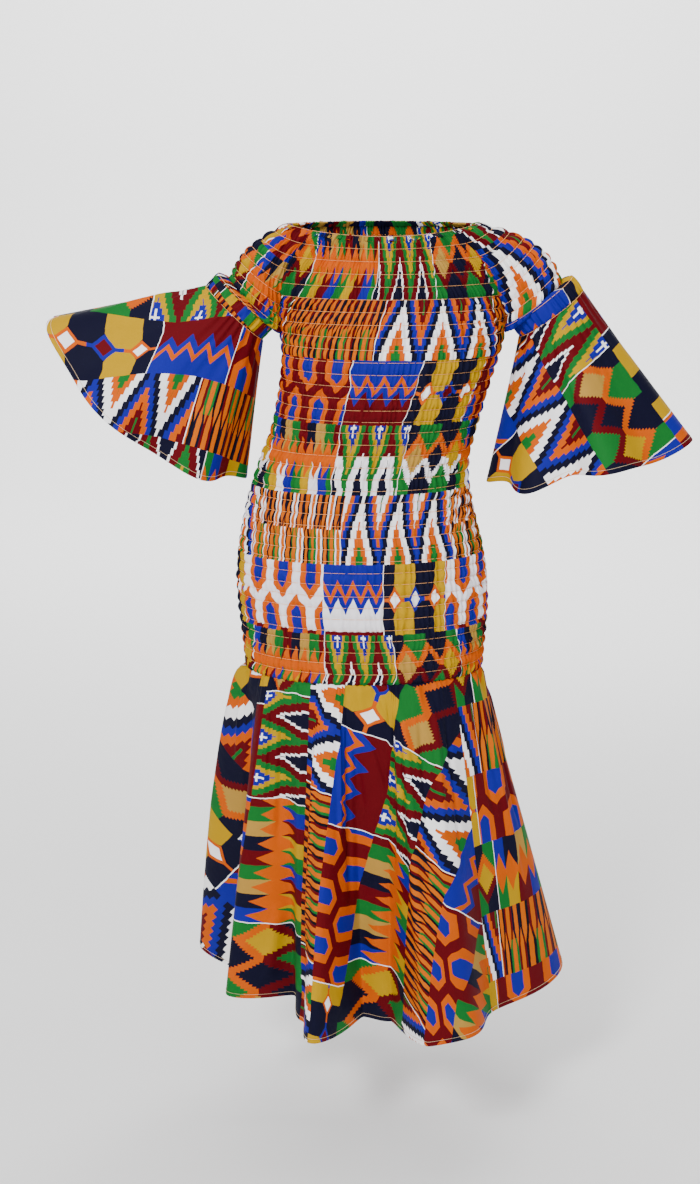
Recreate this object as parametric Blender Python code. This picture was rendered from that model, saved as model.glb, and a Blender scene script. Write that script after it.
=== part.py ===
"""A worn, smocked kente-print dress: one cotton wall for each piece that is cut and sewn.

Metres, +Z up, the front of the dress towards -Y and the wearer's left towards +X.
The origin is the middle of the neckline, where the wearer's shoulders hold the dress up.
Every piece is a wall over a surface worked out from the sizes below.  The inside is plain.
On the bodice and sleeves the outside rises in soft puffs between the rows of elastic thread.
"""
import math
from collections import namedtuple

import bpy
import numpy as np


def table(columns, rows):
    """Rows of numbers as one array for each named column."""
    return dict(zip(columns, np.array(rows).T))


# The cloth
CLOTH = 0.0014           # wall of the cotton
SEAM_GAP = 0.0003        # clearance between two pieces at their seam
PUFF = 0.0028            # rise of a puff between two rows of elastic thread
PUFF_SWAY = 0.18         # share by which neighbouring puffs differ in height
SEAM_PUFF = 0.5          # share of a puff's height beside a seam
BAND_PUFF = 0.0012       # rise of the narrow puffs of the sleeve bands
NORMAL_STEP = 1e-4       # step of the differences that give the surface normals
ANGLE_STEP = 0.02        # the same for the flounce's angles, in degrees

# The bodice: closed sections from the hip seam up to the neckline.
# The half width is measured to the side seam, and above the armpit to the raglan seam.
HIP_Z = -0.652
ARMPIT_Z = -0.139
SECTIONS = table(("z", "centre_x", "half_width", "front_depth", "back_depth"), (
    (HIP_Z, -0.025, 0.179, 0.112, 0.118),
    (-0.606, -0.025, 0.182, 0.115, 0.123),
    (-0.560, -0.026, 0.186, 0.117, 0.127),
    (-0.510, -0.028, 0.187, 0.116, 0.127),
    (-0.461, -0.030, 0.181, 0.111, 0.120),
    (-0.394, -0.032, 0.166, 0.104, 0.106),
    (-0.331, -0.025, 0.153, 0.100, 0.095),
    (-0.280, -0.010, 0.149, 0.104, 0.094),
    (-0.230, 0.002, 0.151, 0.116, 0.098),
    (-0.184, 0.011, 0.155, 0.121, 0.102),
    (ARMPIT_Z, 0.016, 0.162, 0.114, 0.103),
    (-0.090, 0.012, 0.159, 0.102, 0.098),
    (-0.045, 0.006, 0.141, 0.090, 0.090),
    (0.0, 0.0, 0.100, 0.078, 0.076),
))
BODICE_COLUMNS = 14
BODICE_PUFFS = 30        # rows of puffs from the hip seam to the armpit
RAGLAN_PUFFS = 8         # rows of puffs from the armpit to the neckline

# The neckline: an ellipse that climbs over the shoulders and behind the neck
NECK_HALF_WIDTH = 0.136
NECK_SIDE_LIFT = 0.013
NECK_BACK_LIFT = 0.015
NECK_REACH = math.acos(SECTIONS["half_width"][-1] / NECK_HALF_WIDTH)   # from the side to a raglan

# The sleeves: a raglan crown down to an elastic band, then a half-circle bell.
# Places are (x, z).  "under" runs from the band's middle to its underarm point.
BAND_DEPTH = 0.052       # half depth of the band, front to back
BAND_WIDTH = 0.024
ARMPIT_SHARE = 0.92      # share of the crown's length at which its edges reach the armpit
SLEEVE_COLUMNS = 20
BELL_COLUMNS = 36
BELL_ROWS = 6
SLEEVES = {
    "right": {"side": -1, "band": (-0.2075, -0.104), "under": (0.0395, -0.038), "crown": 0.0,
              "hem": {"angle": (270.5, 228.0, 183.0), "radius": (0.252, 0.233, 0.278),
                      "depth": (0.105, 0.125, 0.110)}},
    "left": {"side": 1, "band": (0.242, -0.104), "under": (-0.044, -0.033), "crown": 0.017,
             "hem": {"angle": (253.0, 287.0, 318.7), "radius": (0.270, 0.236, 0.290),
                     "depth": (0.105, 0.130, 0.110)}},
}
# Flutes at the hem of each bell: turn round the arm from the underarm (front at 0.25),
# and how far the hem is pushed out there.
FLUTES = {
    "right": table(("turn", "push"), (
        (0.0, 0.004), (0.07, -0.008), (0.14, 0.012), (0.21, -0.012), (0.28, 0.010),
        (0.36, -0.012), (0.43, 0.008), (0.50, -0.004), (0.57, 0.010), (0.65, -0.012),
        (0.73, 0.012), (0.80, -0.010), (0.87, 0.010), (0.94, -0.006), (1.0, 0.004))),
    "left": table(("turn", "push"), (
        (0.0, 0.004), (0.07, -0.010), (0.135, 0.016), (0.20, -0.026), (0.27, 0.018),
        (0.35, -0.010), (0.43, 0.010), (0.50, -0.004), (0.57, 0.010), (0.65, -0.014),
        (0.73, 0.014), (0.81, -0.016), (0.88, 0.010), (0.94, -0.006), (1.0, 0.004))),
}

# The flounce: ruled from the hip seam to a fluted hem.  Angles are degrees round +Z
# from +X, so the front is 270.  "blend" below 1 swings a line out early, near the seam,
# and "length" is the cloth from the seam to the hem.
FLOUNCE_ROWS = (0.0, 0.018, 0.045, 0.085, 0.15, 0.25, 0.37, 0.49, 0.62, 0.75, 0.88, 1.0)
HEM_CENTRE = (0.0, 0.02)
HEM = table(("angle", "radius", "blend", "length"), (
    (-34.4, 0.212, 0.90, 0.545),
    (6.0, 0.303, 1.00, 0.545),
    (30.0, 0.235, 0.90, 0.545),
    (52.0, 0.275, 0.90, 0.545),
    (74.0, 0.185, 0.90, 0.545),
    (97.0, 0.262, 0.90, 0.545),
    (120.0, 0.190, 0.90, 0.545),
    (142.0, 0.275, 0.80, 0.540),
    (156.0, 0.245, 0.60, 0.530),
    (168.5, 0.301, 0.45, 0.524),
    (184.0, 0.215, 0.65, 0.530),
    (198.0, 0.255, 0.80, 0.535),
    (212.0, 0.158, 0.90, 0.530),
    (231.0, 0.192, 0.90, 0.540),
    (245.0, 0.249, 0.90, 0.545),
    (258.7, 0.127, 0.90, 0.545),
    (277.0, 0.140, 0.90, 0.545),
    (287.0, 0.254, 0.90, 0.545),
    (300.0, 0.256, 0.90, 0.545),
    (325.6, 0.212, 0.90, 0.545),
    (366.0, 0.303, 1.00, 0.545),
    (390.0, 0.235, 0.90, 0.545),
    (412.0, 0.275, 0.90, 0.545),
    (434.0, 0.185, 0.90, 0.545),
))
Panel = namedtuple("Panel", "name hem_from hem_to seam_from seam_to gathers")
PANELS = (
    Panel("flounce_back", 55.0, 135.0, 55.0, 140.0, 6),
    Panel("flounce_right", 135.0, 191.3, 140.0, 211.0, 5),
    Panel("flounce_front", 191.3, 325.6, 211.0, 318.0, 8),
    Panel("flounce_left", 325.6, 415.0, 318.0, 415.0, 6),
)
GATHER_COLUMNS = 4       # columns of the wall in each gather
GATHER_DEPTH = 0.004
GATHER_FADE = 0.06       # length over which the gathers die away below the seam

# Main colour of each piece (linear RGB)
COLOURS = {
    "bodice_front": (0.78, 0.26, 0.03),
    "bodice_back": (0.62, 0.19, 0.03),
    "sleeve_right": (0.70, 0.36, 0.02),
    "sleeve_left": (0.03, 0.10, 0.48),
    "bell_right": (0.22, 0.01, 0.02),
    "bell_left": (0.02, 0.22, 0.05),
    "flounce_front": (0.80, 0.30, 0.02),
    "flounce_left": (0.30, 0.01, 0.02),
    "flounce_back": (0.02, 0.20, 0.04),
    "flounce_right": (0.75, 0.52, 0.01),
}


def unit(vectors):
    return vectors / np.linalg.norm(vectors, axis=-1, keepdims=True)


def stack(x, y, z):
    return np.stack(np.broadcast_arrays(x, y, z), axis=-1).astype(float)


def smooth_curve(knots, values, at):
    """Cubic through every value, with the slope at a knot taken from its neighbours."""
    slopes = np.gradient(values, knots)
    k = np.clip(np.searchsorted(knots, at) - 1, 0, len(knots) - 2)
    step = knots[k + 1] - knots[k]
    t = (at - knots[k]) / step
    rise = values[k] * (1 + 2 * t) * (1 - t) ** 2 + values[k + 1] * t * t * (3 - 2 * t)
    return rise + step * (slopes[k] * t * (1 - t) ** 2 - slopes[k + 1] * t * t * (1 - t))


def crest_curve(knots, values, at):
    """Half waves between crests and valleys: level at each knot."""
    k = np.clip(np.searchsorted(knots, at) - 1, 0, len(knots) - 2)
    t = (at - knots[k]) / (knots[k + 1] - knots[k])
    return values[k] + (values[k + 1] - values[k]) * (1 - np.cos(math.pi * t)) / 2


def normals(surface, u, v):
    """Unit normals of a surface(u, v), by central differences."""
    along_u = surface(u + NORMAL_STEP, v) - surface(u - NORMAL_STEP, v)
    along_v = surface(u, v + NORMAL_STEP) - surface(u, v - NORMAL_STEP)
    return unit(np.cross(along_u, along_v))


# ---------------------------------------------------------------- bodice

def bodice_point(face, across, z):
    """Bodice surface; face is -1 in front and 1 behind, across runs 0 to 1 between its seams.

    A section is half an ellipse.  Above the armpit it starts at the raglan seam, whose
    depth grows as a sine, and the rows lift towards the shoulders and the nape.
    """
    depths = SECTIONS["front_depth" if face < 0 else "back_depth"]
    centre_x = smooth_curve(SECTIONS["z"], SECTIONS["centre_x"], z)
    half_width = smooth_curve(SECTIONS["z"], SECTIONS["half_width"], z)
    depth = smooth_curve(SECTIONS["z"], depths, z)
    climb = np.maximum(z - ARMPIT_Z, 0) / -ARMPIT_Z
    seam_depth = depths[-1] * math.sin(NECK_REACH) * np.sin(math.pi / 2 * climb)
    start = np.arcsin(seam_depth / depth)
    angle = start + (math.pi - 2 * start) * (1 - across)
    x = centre_x - face * half_width / np.cos(start) * np.cos(angle)
    y = face * depth * np.sin(angle)
    lift = neck_lift(np.cos(angle), np.sin(angle), face)
    return stack(x, y, z + climb ** 2 * lift)


def neck_lift(cosine, sine, face):
    return NECK_SIDE_LIFT * cosine ** 2 + np.where(face > 0, NECK_BACK_LIFT, 0) * sine ** 2


def bodice_edge(side, face):
    """Which end of across is the seam on this side of the wearer."""
    return 1.0 if side * face < 0 else 0.0


# ---------------------------------------------------------------- sleeves

def band_ring(sleeve, turn, along):
    """Ellipse round the arm at the elastic band; turn 0 is the underarm, 0.25 the front."""
    (band_x, band_z), (under_x, under_z) = sleeve["band"], sleeve["under"]
    arm_x, arm_z = arm_direction(sleeve)
    cosine, sine = np.cos(2 * math.pi * turn), np.sin(2 * math.pi * turn)
    x = band_x + arm_x * along + under_x * cosine
    z = band_z + arm_z * along + under_z * cosine
    return stack(x, -BAND_DEPTH * sine, z)


def arm_direction(sleeve):
    """Unit direction down the arm, square to the band's under vector."""
    under_x, under_z = sleeve["under"]
    length = math.hypot(under_x, under_z)
    return sleeve["side"] * -under_z / length, sleeve["side"] * under_x / length


def neck_arc(side, turn):
    """Neckline over one shoulder, from the front raglan (0) to the back one (1)."""
    angle = NECK_REACH * (1 - 2 * turn)
    depth = np.where(angle > 0, SECTIONS["front_depth"][-1], SECTIONS["back_depth"][-1])
    lift = neck_lift(np.cos(angle), np.sin(angle), np.where(angle > 0, -1, 1))
    return stack(side * NECK_HALF_WIDTH * np.cos(angle), -depth * np.sin(angle), lift)


def crown_edge(sleeve, face, down):
    """Edge of the crown: the raglan seam to the armpit, then the underarm to the band."""
    side = sleeve["side"]
    height = np.minimum(1 - down / ARMPIT_SHARE, 1 + NORMAL_STEP * 10)
    raglan = bodice_point(face, bodice_edge(side, face), ARMPIT_Z * (1 - np.maximum(height, 0)))
    bottom = band_ring(sleeve, 0.0, -BAND_WIDTH / 2)
    rest = np.maximum(down - ARMPIT_SHARE, 0) / (1 - ARMPIT_SHARE)
    return raglan + (bottom - raglan) * rest[..., None]


def sleeve_point(sleeve, around, down):
    """Crown and band; down is 0 at the neckline, 1 where the band starts and 2 at its end.

    The crown is a Coons patch between the neckline, the band and the two raglan seams,
    raised along the middle by the crown height.
    """
    turn = around if sleeve["side"] < 0 else 1 - around
    turn, down = np.broadcast_arrays(np.asarray(turn, float), np.asarray(down, float))
    s = np.minimum(down, 1.0)
    top, bottom = neck_arc(sleeve["side"], turn), band_ring(sleeve, turn, -BAND_WIDTH / 2)
    front, back = crown_edge(sleeve, -1, s), crown_edge(sleeve, 1, s)
    top_ends = neck_arc(sleeve["side"], np.array((0.0, 1.0)))
    low_end = band_ring(sleeve, 0.0, -BAND_WIDTH / 2)
    w, s3 = turn[..., None], s[..., None]
    corners = (1 - s3) * ((1 - w) * top_ends[0] + w * top_ends[1]) + s3 * low_end
    crown = (1 - s3) * top + s3 * bottom + (1 - w) * front + w * back - corners
    swell = sleeve["crown"] * np.sin(math.pi * s) * np.sin(math.pi * np.clip(turn, 0, 1)) ** 2
    crown[..., 2] += swell
    band = band_ring(sleeve, turn, BAND_WIDTH * (np.maximum(down, 1.0) - 1.5))
    return np.where(down[..., None] > 1, band, crown)


def raglan_seam(side, face, climb):
    """Point, wall direction and inward direction (into the bodice) on a raglan seam."""
    sleeve = next(s for s in SLEEVES.values() if s["side"] == side)
    edge = bodice_edge(side, face)
    z = ARMPIT_Z * (1 - climb)
    turn = 0.0 if face < 0 else 1.0
    around = turn if side < 0 else 1 - turn
    point = bodice_point(face, edge, z)
    bodice_normal = normals(lambda u, v: bodice_point(face, u, v), edge, z)
    sleeve_normal = normals(lambda u, v: sleeve_point(sleeve, u, v), around, ARMPIT_SHARE * (1 - climb))
    direction = unit(bodice_normal + sleeve_normal)
    if climb < NORMAL_STEP:
        direction = unit(direction * (1, 0, 1))
        return point, direction, np.array((0.0, face, -1.0))
    tangent = bodice_point(face, edge, z + NORMAL_STEP) - bodice_point(face, edge, z - NORMAL_STEP)
    inward = unit(np.cross(tangent, direction))
    inside = bodice_point(face, 0.5, z) - point
    return point, direction, inward * math.copysign(1, np.dot(inward, inside))


# ---------------------------------------------------------------- bells

def bell_point(name, around, down):
    """Bell of a sleeve, ruled from the band (0) to its fluted hem (1)."""
    sleeve = SLEEVES[name]
    turn = around if sleeve["side"] < 0 else 1 - around
    turn, down = np.broadcast_arrays(np.asarray(turn, float), np.asarray(down, float))
    cosine, sine = np.cos(2 * math.pi * turn), np.sin(2 * math.pi * turn)
    outer = (1 - cosine) / 2
    shares = np.array((0.0, 0.5, 1.0))
    hem = {key: smooth_curve(shares, np.array(row), outer) for key, row in sleeve["hem"].items()}
    angle = np.radians(hem["angle"])
    x = sleeve["band"][0] + hem["radius"] * np.cos(angle)
    z = sleeve["band"][1] + hem["radius"] * np.sin(angle)
    hem_point = stack(x, -hem["depth"] * sine, z)
    top = band_ring(sleeve, turn, BAND_WIDTH / 2)
    under = np.array((sleeve["under"][0], 0.0, sleeve["under"][1]))
    out = unit(under) * cosine[..., None] - np.array((0.0, 1.0, 0.0)) * sine[..., None]
    push = crest_curve(FLUTES[name]["turn"], FLUTES[name]["push"], turn % 1.0)
    push = push * np.maximum(down, 0) ** 1.3
    return top + (hem_point - top) * down[..., None] + out * push[..., None]


# ---------------------------------------------------------------- flounce

def hem_to_seam(angle):
    """Angle at the hip seam of the ruled line that ends at this hem angle."""
    first = PANELS[0].hem_from
    hem_angles = [panel.hem_from - first for panel in PANELS] + [360.0]
    seam_angles = [panel.seam_from for panel in PANELS] + [PANELS[-1].seam_to]
    return np.interp((angle - first) % 360, hem_angles, seam_angles)


def flounce_point(angle, up):
    """Flounce surface at a hem angle in degrees; up is 0 at the hem and 1 at the hip seam."""
    angle, up = np.broadcast_arrays(np.asarray(angle, float), np.asarray(up, float))
    down = 1 - up
    seam_angle = np.radians(hem_to_seam(angle))
    back = np.sin(seam_angle) > 0
    depth = np.where(back, SECTIONS["back_depth"][0], SECTIONS["front_depth"][0])
    seam_x = SECTIONS["centre_x"][0] + SECTIONS["half_width"][0] * np.cos(seam_angle)
    seam_y = depth * np.sin(seam_angle)
    wrapped = (angle - HEM["angle"][0]) % 360 + HEM["angle"][0]
    radius = crest_curve(HEM["angle"], HEM["radius"], wrapped)
    blend = crest_curve(HEM["angle"], HEM["blend"], wrapped)
    length = crest_curve(HEM["angle"], HEM["length"], wrapped)
    hem_x = HEM_CENTRE[0] + radius * np.cos(np.radians(angle))
    hem_y = HEM_CENTRE[1] + radius * np.sin(np.radians(angle))
    swing = np.maximum(down, 1e-9) ** blend
    drop = np.sqrt(length ** 2 - (hem_x - seam_x) ** 2 - (hem_y - seam_y) ** 2)
    x = seam_x + (hem_x - seam_x) * swing
    y = seam_y + (hem_y - seam_y) * swing
    gather = GATHER_DEPTH * gather_wave(angle) * gather_share(down * length)
    x = x + gather * np.cos(seam_angle)
    y = y + gather * np.sin(seam_angle)
    return stack(x, y, HIP_Z - drop * down)


def gather_wave(angle):
    """One wave for each gather, level with the seams at the panels' edges."""
    wave = np.zeros_like(angle)
    for panel in PANELS:
        share = ((angle - panel.hem_from) % 360) / (panel.hem_to - panel.hem_from)
        window = np.clip(share * panel.gathers, 0, 1) * np.clip((1 - share) * panel.gathers, 0, 1)
        wave = np.where(share < 1, window * np.sin(2 * math.pi * panel.gathers * share), wave)
    return wave


def gather_share(below):
    """Gathers start at the seam, are fullest just under it and fade out."""
    start = np.clip(below / (GATHER_FADE / 6), 0, 1)
    return start * np.clip(1 - below / GATHER_FADE, 0, 1)


def panel_angles(panel, count):
    """Hem angles that share a panel's hem length evenly."""
    fine = np.linspace(panel.hem_from, panel.hem_to, 400)
    steps = np.linalg.norm(np.diff(flounce_point(fine, 0.0), axis=0), axis=1)
    length = np.concatenate(([0.0], np.cumsum(steps)))
    return np.interp(np.linspace(0, length[-1], count + 1), length, fine)


# ---------------------------------------------------------------- walls

def edge_loop(rows, columns):
    """(row, column) places round the edge of a grid, back to the first corner."""
    loop = [(rows[0], c) for c in columns]
    loop += [(r, columns[-1]) for r in rows[1:]]
    loop += [(rows[-1], c) for c in columns[-2::-1]]
    loop += [(r, columns[0]) for r in rows[-2::-1]]
    return loop


def loop_distance(loop):
    steps = [abs(b[0] - a[0]) + abs(b[1] - a[1]) for a, b in zip(loop, loop[1:])]
    return [0] + list(np.cumsum(steps))


def grid_faces(index, rows, columns):
    """Two triangles for each cell between the given rows and columns."""
    faces = []
    for r0, r1 in zip(rows, rows[1:]):
        for c0, c1 in zip(columns, columns[1:]):
            a, b, c, d = index[r0, c0], index[r0, c1], index[r1, c1], index[r1, c0]
            faces += [(a, b, c), (a, c, d)]
    return faces


def rim_faces(outer, inner, outer_loop, inner_loop):
    """Strip that closes the wall between its outer and inner edges."""
    outer_at, inner_at = loop_distance(outer_loop), loop_distance(inner_loop)
    faces = []
    i = k = 0
    while i < len(outer_loop) - 1 or k < len(inner_loop) - 1:
        a, b = outer[outer_loop[i]], inner[inner_loop[k]]
        if k == len(inner_loop) - 1 or (i < len(outer_loop) - 1 and outer_at[i + 1] <= inner_at[k + 1]):
            i += 1
            faces.append((outer[outer_loop[i]], a, b))
        else:
            k += 1
            faces.append((b, inner[inner_loop[k]], a))
    return faces


def add_wall(name, base, direction, rise, inner_rows):
    """Closed wall: base is its inside, and the outside stands CLOTH and rise above it."""
    rows, columns = list(range(base.shape[0])), list(range(base.shape[1]))
    outer_points = (base + direction * (CLOTH + rise)[..., None]).reshape(-1, 3)
    outer = {(r, c): r * len(columns) + c for r in rows for c in columns}
    inner = {(r, c): len(outer) + i * len(columns) + c for i, r in enumerate(inner_rows) for c in columns}
    faces = grid_faces(outer, rows, columns)
    faces += [face[::-1] for face in grid_faces(inner, inner_rows, columns)]
    faces += rim_faces(outer, inner, edge_loop(rows, columns), edge_loop(inner_rows, columns))
    points = np.concatenate([outer_points, base[inner_rows].reshape(-1, 3)])

    mesh = bpy.data.meshes.new(name)
    mesh.from_pydata(points.tolist(), [], faces)
    mesh.shade_smooth()
    mesh.set_sharp_from_angle(angle=math.radians(50))
    material = bpy.data.materials.new(name + "_cotton")
    material.use_nodes = True
    shader = material.node_tree.nodes["Principled BSDF"]
    shader.inputs["Base Color"].default_value = (*COLOURS[name], 1.0)
    shader.inputs["Roughness"].default_value = 0.72
    shader.inputs["Metallic"].default_value = 0.0
    mesh.materials.append(material)
    wall = bpy.data.objects.new(name, mesh)
    bpy.context.scene.collection.objects.link(wall)
    return wall


def puff_rise(row_count, column_count):
    """Puffs: none on the thread rows (even) and at the seams, full on the rows between."""
    rise = np.zeros((row_count, column_count))
    sway = 1 - PUFF_SWAY * ((np.arange(row_count)[1::2, None] // 2 + np.arange(column_count)) % 2)
    rise[1::2] = PUFF * sway
    rise[:, [1, -2]] *= SEAM_PUFF
    rise[:, [0, -1]] = 0
    return rise


def add_bodice(name, face):
    low = np.linspace(HIP_Z, ARMPIT_Z, 2 * BODICE_PUFFS + 1)
    high = np.linspace(ARMPIT_Z, 0.0, 2 * RAGLAN_PUFFS + 1)
    heights = np.concatenate((low, high[1:]))
    across = np.linspace(0, 1, BODICE_COLUMNS + 1)
    u, z = np.meshgrid(across, heights)

    def surface(u, v):
        return bodice_point(face, u, v)

    base, direction = surface(u, z), normals(surface, u, z)
    base[0, :, 2] += SEAM_GAP / 2
    for column in (0, -1):
        side = -1 if base[0, column, 0] < 0 else 1
        for row, height in enumerate(heights):
            if height < ARMPIT_Z - NORMAL_STEP:
                direction[row, column] = unit(direction[row, column] * (1, 0, 1))
                inward = np.array((0.0, face, 0.0))
            else:
                climb = 1 - height / ARMPIT_Z
                point, direction[row, column], inward = raglan_seam(side, face, climb)
            base[row, column] += inward * SEAM_GAP / 2
    direction[0] = unit(direction[0] * (1, 1, 0))
    armpit_row = 2 * BODICE_PUFFS
    inner_rows = list(range(0, armpit_row, 4)) + list(range(armpit_row, len(heights), 2))
    add_wall(name, base, direction, puff_rise(*u.shape), inner_rows)


def add_sleeve(name):
    sleeve = SLEEVES[name]
    crown = np.linspace(0, ARMPIT_SHARE, 2 * RAGLAN_PUFFS + 1)
    rows = np.concatenate((crown, ((ARMPIT_SHARE + 1) / 2, 1.0, 1.25, 1.5, 1.75, 2.0)))
    around = np.linspace(0, 1, SLEEVE_COLUMNS + 1)
    u, v = np.meshgrid(around, rows)

    def surface(u, v):
        return sleeve_point(sleeve, u, v)

    base, direction = surface(u, v), normals(surface, u, v)
    armpit_row = 2 * RAGLAN_PUFFS
    for column in (0, -1):
        face = -1 if (column == 0) == (sleeve["side"] < 0) else 1
        for row in range(len(rows)):
            if row <= armpit_row:
                climb = 1 - row / armpit_row
                point, direction[row, column], into_bodice = raglan_seam(sleeve["side"], face, climb)
                outward = into_bodice * ((1, -1, 1) if row == armpit_row else (1, 1, 1))
                base[row, column] = point - outward * SEAM_GAP / 2
            else:
                direction[row, column] = unit(direction[row, column] * (1, 0, 1))
                base[row, column, 1] = face * SEAM_GAP / 2
    end_band(sleeve, base, direction, around, -1, -1)
    rise = puff_rise(*u.shape)
    rise[armpit_row + 3::2, 1:-1] = BAND_PUFF
    add_wall("sleeve_" + name, base, direction, rise, list(range(0, len(rows), 2)))


def end_band(sleeve, base, direction, around, row, towards):
    """Square a row of a wall to the arm, half a seam gap up or down from the band's end."""
    arm_x, arm_z = arm_direction(sleeve)
    arm = np.array((arm_x, 0.0, arm_z))
    turn = around if sleeve["side"] < 0 else 1 - around
    middle = band_ring(sleeve, np.array((0.0, 0.5)), BAND_WIDTH / 2).mean(axis=0)
    base[row] += arm * towards * SEAM_GAP / 2
    under = unit(np.array((sleeve["under"][0], 0.0, sleeve["under"][1])))
    out = unit(band_ring(sleeve, turn, BAND_WIDTH / 2) - middle)
    direction[row] = unit(out - arm * (out @ arm)[:, None])
    direction[row, [0, -1]] = under


def add_bell(name):
    sleeve = SLEEVES[name]
    around = np.linspace(0, 1, BELL_COLUMNS + 1)
    u, v = np.meshgrid(around, np.linspace(0, 1, BELL_ROWS + 1))

    def surface(u, v):
        return bell_point(name, u, v)

    base, direction = surface(u, v), normals(surface, u, v)
    end_band(sleeve, base, direction, around, 0, 1)
    for column in (0, -1):
        face = -1 if (column == 0) == (sleeve["side"] < 0) else 1
        direction[:, column] = unit(direction[:, column] * (1, 0, 1))
        base[:, column, 1] = face * SEAM_GAP / 2
    add_wall("bell_" + name, base, direction, np.zeros(u.shape), list(range(BELL_ROWS + 1)))


def add_flounce(panel):
    angles = panel_angles(panel, panel.gathers * GATHER_COLUMNS)
    u, v = np.meshgrid(angles, 1 - np.array(FLOUNCE_ROWS[::-1]))
    base = flounce_point(u, v)
    along = flounce_point(u + ANGLE_STEP, v) - flounce_point(u - ANGLE_STEP, v)
    upward = flounce_point(u, np.minimum(v + NORMAL_STEP, 1)) - flounce_point(u, v - NORMAL_STEP)
    direction = unit(np.cross(along, upward))
    direction[-1] = unit(direction[-1] * (1, 1, 0))
    for column, sense in ((0, 1), (-1, -1)):
        inward = unit(np.cross(upward[:, column], direction[:, column])) * sense
        base[:, column] += inward * SEAM_GAP / 2
    base[-1, :, 2] = HIP_Z - SEAM_GAP / 2
    add_wall(panel.name, base, direction, np.zeros(u.shape), list(range(len(FLOUNCE_ROWS))))


def main():
    for old in list(bpy.data.objects):
        bpy.data.objects.remove(old, do_unlink=True)
    add_bodice("bodice_front", -1)
    add_bodice("bodice_back", 1)
    for name in SLEEVES:
        add_sleeve(name)
        add_bell(name)
    for panel in PANELS:
        add_flounce(panel)


main()
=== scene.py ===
# Smocked kente-print dress: cotton sheets, top stitching and turned hems on the frame's solids.
# Metres, +Z up, the front towards -Y and the wearer's left towards +X.
import math
from functools import partial

import bpy
import numpy as np
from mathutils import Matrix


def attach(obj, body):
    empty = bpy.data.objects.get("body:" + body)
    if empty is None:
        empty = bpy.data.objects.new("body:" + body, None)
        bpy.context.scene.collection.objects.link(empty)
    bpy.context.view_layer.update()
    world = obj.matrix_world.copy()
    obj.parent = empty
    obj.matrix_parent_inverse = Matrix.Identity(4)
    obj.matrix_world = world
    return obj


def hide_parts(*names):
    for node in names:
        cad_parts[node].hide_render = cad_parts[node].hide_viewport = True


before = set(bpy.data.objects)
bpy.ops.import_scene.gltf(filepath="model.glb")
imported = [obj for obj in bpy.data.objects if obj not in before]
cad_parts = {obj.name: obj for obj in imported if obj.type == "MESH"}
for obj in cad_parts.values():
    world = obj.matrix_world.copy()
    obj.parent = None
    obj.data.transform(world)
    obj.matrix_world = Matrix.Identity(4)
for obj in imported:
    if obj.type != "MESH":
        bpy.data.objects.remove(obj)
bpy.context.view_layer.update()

# The wax print's palette, sRGB
palette = {
    "navy": "#0f0f25", "blue": "#1a1b88", "maroon": "#5a0710", "orange": "#c25200",
    "amber": "#c45e00", "yellow": "#b28a00", "tan": "#a98238", "green": "#176628",
    "white": "#fbf9fa", "bleached": "#eeeaf0", "black": "#0e0a16",
}


def linear(code):
    # sRGB hex to linear RGBA: (c / 12.92) near black, ((c + 0.055) / 1.055) ** 2.4 above
    parts = np.array([int(code[i:i + 2], 16) for i in (1, 3, 5)]) / 255
    parts = np.where(parts > 0.04045, ((parts + 0.055) / 1.055) ** 2.4, parts / 12.92)
    return (*parts.tolist(), 1.0)


ink = {name: linear(code) for name, code in palette.items()}


def stack(x, y, z):
    return np.stack(np.broadcast_arrays(x, y, z), axis=-1).astype(float)


def unit(vectors):
    return vectors / np.maximum(np.linalg.norm(vectors, axis=-1, keepdims=True), 1e-12)


def ease(t):
    # smooth step from 0 to 1
    t = np.clip(t, 0, 1)
    return t * t * (3 - 2 * t)


def findStep(knots, values, at):
    # the knot before each place, the step to the next knot, and the share of that step
    knots, values = np.asarray(knots, float), np.asarray(values, float)
    k = np.clip(np.searchsorted(knots, at) - 1, 0, len(knots) - 2)
    step = knots[k + 1] - knots[k]
    return values, k, step, (at - knots[k]) / step


def smoothCurve(knots, values, at):
    # cubic through every value, with the slope at a knot taken from its neighbours
    values, k, step, t = findStep(knots, values, at)
    slopes = np.gradient(values, knots)
    rise = values[k] * (1 + 2 * t) * (1 - t) ** 2 + values[k + 1] * t * t * (3 - 2 * t)
    return rise + step * (slopes[k] * t * (1 - t) ** 2 - slopes[k + 1] * t * t * (1 - t))


def crestCurve(knots, values, at):
    # half waves between crests and valleys, level at each knot
    values, k, _, t = findStep(knots, values, at)
    return values[k] + (values[k + 1] - values[k]) * (1 - np.cos(math.pi * t)) / 2


def gridNormals(points):
    # cross product of the steps along the columns and along the rows
    return unit(np.cross(np.gradient(points, axis=1), np.gradient(points, axis=0)))


def arcAlong(points, axis):
    # length from the first row or column to each point of the grid
    steps = np.linalg.norm(np.diff(points, axis=axis), axis=-1)
    start = np.zeros_like(steps.take([0], axis=axis))
    return np.concatenate((start, np.cumsum(steps, axis=axis)), axis=axis)


cloth = {
    "over": 0.0009,        # the sheet lies this far outside the inside of its solid
    "seamTurn": 0.004,     # seam allowance that turns in at a joined edge
    "hemTurn": 0.008,      # narrow hem turned under
    "hemThickness": 0.0022,
    "hemRow": 0.006,       # the hem's stitches are this far above its edge
    "hemThread": 0.00032, "hemThreadOver": 0.0003,
    "seamFade": 0.015,     # creases die out this near to a side seam
    "topFade": 0.004,      # and gathers this near to the top edge
    "creaseEnds": 0.3,     # share of a crease over which each end fades
    "hang": 0.5,           # the gathers have let the print go this far below the top edge
}


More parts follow.
